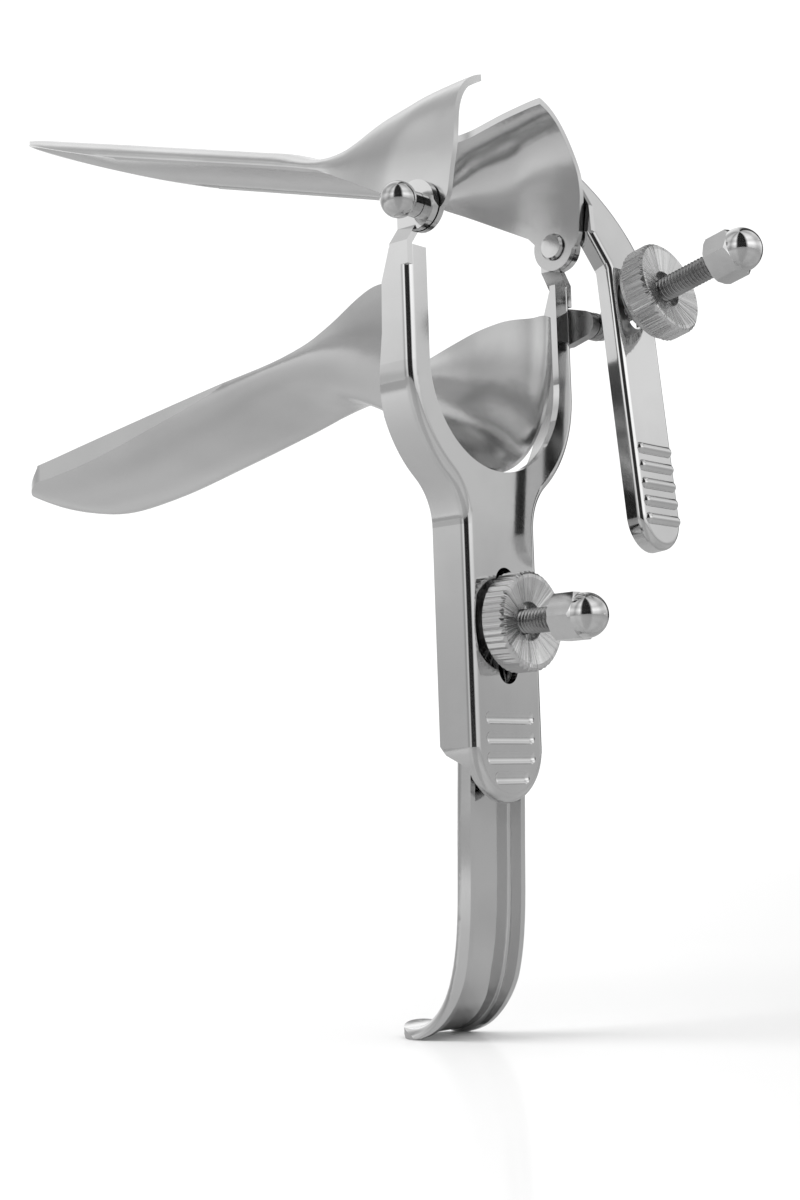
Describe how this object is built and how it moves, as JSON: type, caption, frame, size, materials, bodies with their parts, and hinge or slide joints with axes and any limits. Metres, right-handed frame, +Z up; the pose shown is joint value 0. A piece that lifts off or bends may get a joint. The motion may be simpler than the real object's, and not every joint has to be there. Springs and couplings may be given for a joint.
{
  "type": "bivalve speculum",
  "caption": "Self-retaining bivalve speculum in polished stainless steel with hinged upper blade, thumb lever, sliding frame and knurled thumb nuts.",
  "frame": {"origin": "middle of the flat web of the sliding frame between its slot and its U-shaped mouth, on the face towards the operator", "axes": "+X to the operator's right, on the thumb lever's side; +Y forward along the blades; +Z up, from the handle to the pivots"},
  "size_m": [0.0725, 0.1806, 0.2113],
  "materials": {
    "blade_steel": "polished, slightly soft",
    "polished_steel": "mirror polished",
    "screw_steel": "turned, threaded",
    "polished_nut": "mirror polished",
    "knurled_nut": "radially turned face, knurled rim",
    "satin_washer": "satin"
  },
  "bodies": {
    "base": {"lower_blade": "blade_steel", "lower_handle": "polished_steel", "height_screw": "screw_steel", "height_cap_nut": "polished_nut"},
    "height_washer_body": {"height_washer": "satin_washer"},
    "height_nut_body": {"height_thumb_nut": "knurled_nut"},
    "yoke": {"yoke_frame": "polished_steel", "left_pivot_screw": "polished_nut", "right_pivot_rivet": "polished_nut", "screw_lug": "satin_washer", "lug_pin": "satin_washer"},
    "upper": {"upper_blade": "blade_steel", "thumb_lever": "polished_steel"},
    "swing_screw": {"lever_screw": "screw_steel", "lever_cap_nut": "polished_nut"},
    "lever_washer_body": {"lever_washer": "satin_washer"},
    "lever_nut_body": {"lever_thumb_nut": "knurled_nut"}
  },
  "joints": [
    {"name": "yoke_slide", "type": "slide", "parent": "base", "child": "yoke", "axis": [0, 0, 1], "range_m": [-0.0078, 0.0072]},
    {"name": "blade_hinge", "type": "hinge", "parent": "yoke", "child": "upper", "pos_m": [0, 0, 0.06], "axis": [1, 0, 0], "range_deg": [-27, 10]},
    {"name": "screw_swing", "type": "hinge", "parent": "yoke", "child": "swing_screw", "pos_m": [0.0305, -0.0026, 0.044], "axis": [1, 0, 0], "range_deg": [-20.6, 7.7]},
    {"name": "lever_washer_slide", "type": "slide", "parent": "swing_screw", "child": "lever_washer_body", "axis": [0, -0.9715, 0.2368], "range_m": [-0.0026, 0.0068]},
    {"name": "lever_nut_spin", "type": "hinge", "parent": "lever_washer_body", "child": "lever_nut_body", "pos_m": [0.0305, -0.0026, 0.044], "axis": [0, -0.9715, 0.2368], "range_deg": [-1125, 3030]},
    {"name": "height_nut_travel", "type": "slide", "parent": "base", "child": "height_washer_body", "axis": [0, -1, 0], "range_m": [0, 0.0064]},
    {"name": "height_nut_spin", "type": "hinge", "parent": "height_washer_body", "child": "height_nut_body", "pos_m": [0, 0, -0.0205], "axis": [0, -1, 0], "range_deg": [0, 2880]}
  ],
  "couplings": [
    {"joint": "screw_swing", "follows": "blade_hinge", "ratio": 0.76},
    {"joint": "lever_washer_slide", "follows": "blade_hinge", "m_per_rad": -0.0143}
  ]
}
